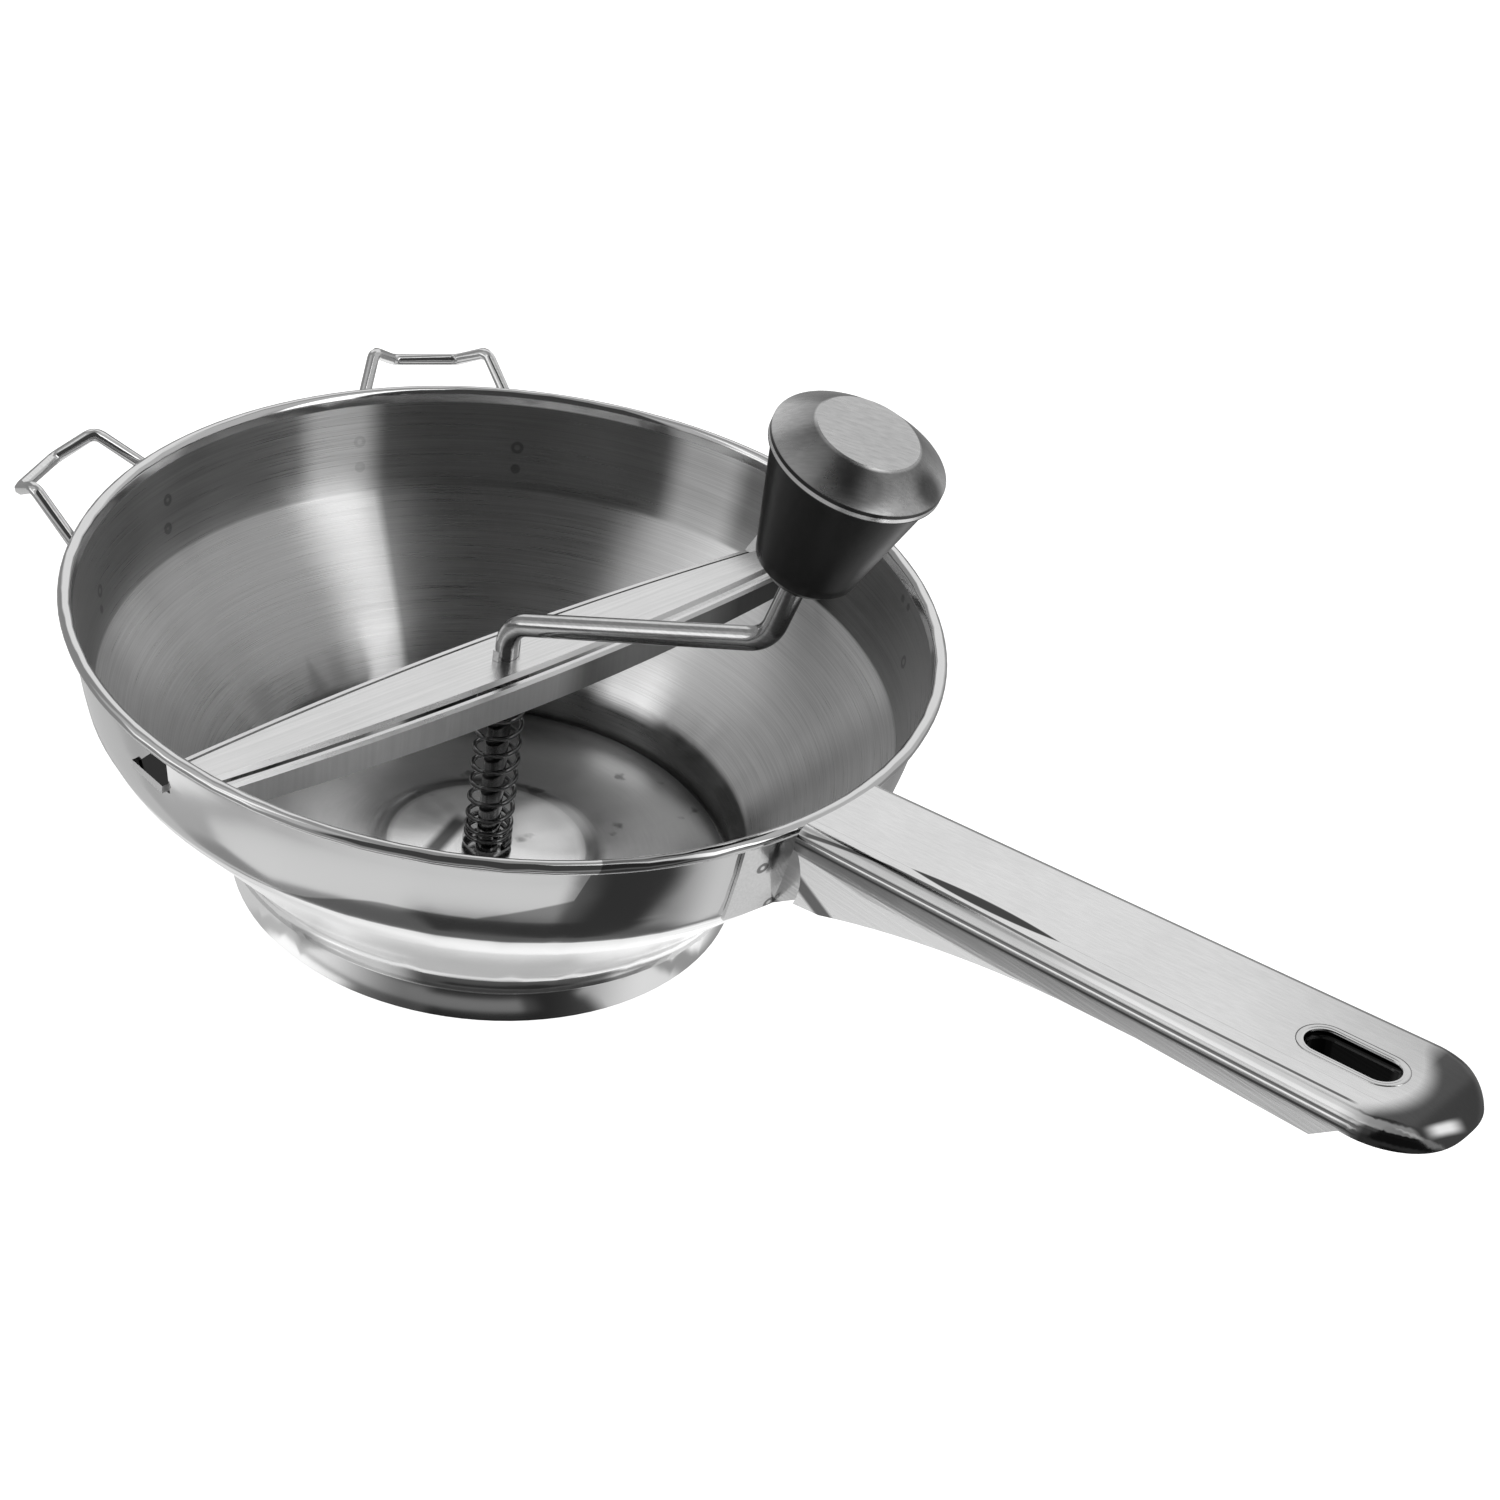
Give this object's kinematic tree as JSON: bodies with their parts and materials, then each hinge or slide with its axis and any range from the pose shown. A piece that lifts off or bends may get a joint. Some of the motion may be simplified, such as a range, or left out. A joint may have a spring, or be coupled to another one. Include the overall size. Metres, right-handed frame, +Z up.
{
  "type": "potato press",
  "caption": "Hand cranked food mill for mashing potatoes: flared steel bowl, channel handle, pot hooks, sprung blade over a perforated disc, black knob.",
  "frame": {"origin": "on the crank's axis, at the level of the base ring's lower edge", "axes": "+Z up along the crank's axis, +X along the handle, away from the bowl"},
  "size_m": [0.3935, 0.22, 0.1695],
  "materials": {
    "polished_steel": "polished",
    "satin_steel": "satin",
    "spring_steel": "satin",
    "black_plastic": "semi-gloss"
  },
  "bodies": {
    "bowl_body": {"bowl": "polished_steel", "sieve_disc": "satin_steel", "handle": "satin_steel", "handle_bracket": "polished_steel", "hook_left": "polished_steel", "hook_right": "polished_steel", "bar": "satin_steel", "spring": "spring_steel"},
    "lift": {"lower_spring_seat": "satin_steel"},
    "rotor": {"crank": "satin_steel", "blade": "satin_steel", "blade_collar": "satin_steel", "knob_retainer": "satin_steel"},
    "knob": {"knob_grip": "black_plastic", "knob_cap": "satin_steel"}
  },
  "joints": [
    {"name": "blade_lift", "type": "slide", "parent": "bowl_body", "child": "lift", "axis": [0, 0, 1], "range_m": [0, 0.033], "stiffness_N_per_m": 600, "springref_m": -0.012, "deforming": ["spring"]},
    {"name": "crank_turn", "type": "hinge", "parent": "lift", "child": "rotor", "pos_m": [0, 0, 0], "axis": [0, 0, -1], "continuous": true},
    {"name": "knob_spin", "type": "hinge", "parent": "rotor", "child": "knob", "pos_m": [0.08824, 0.01162, 0.1603], "axis": [0.2541, 0.0335, 0.9666], "continuous": true}
  ]
}
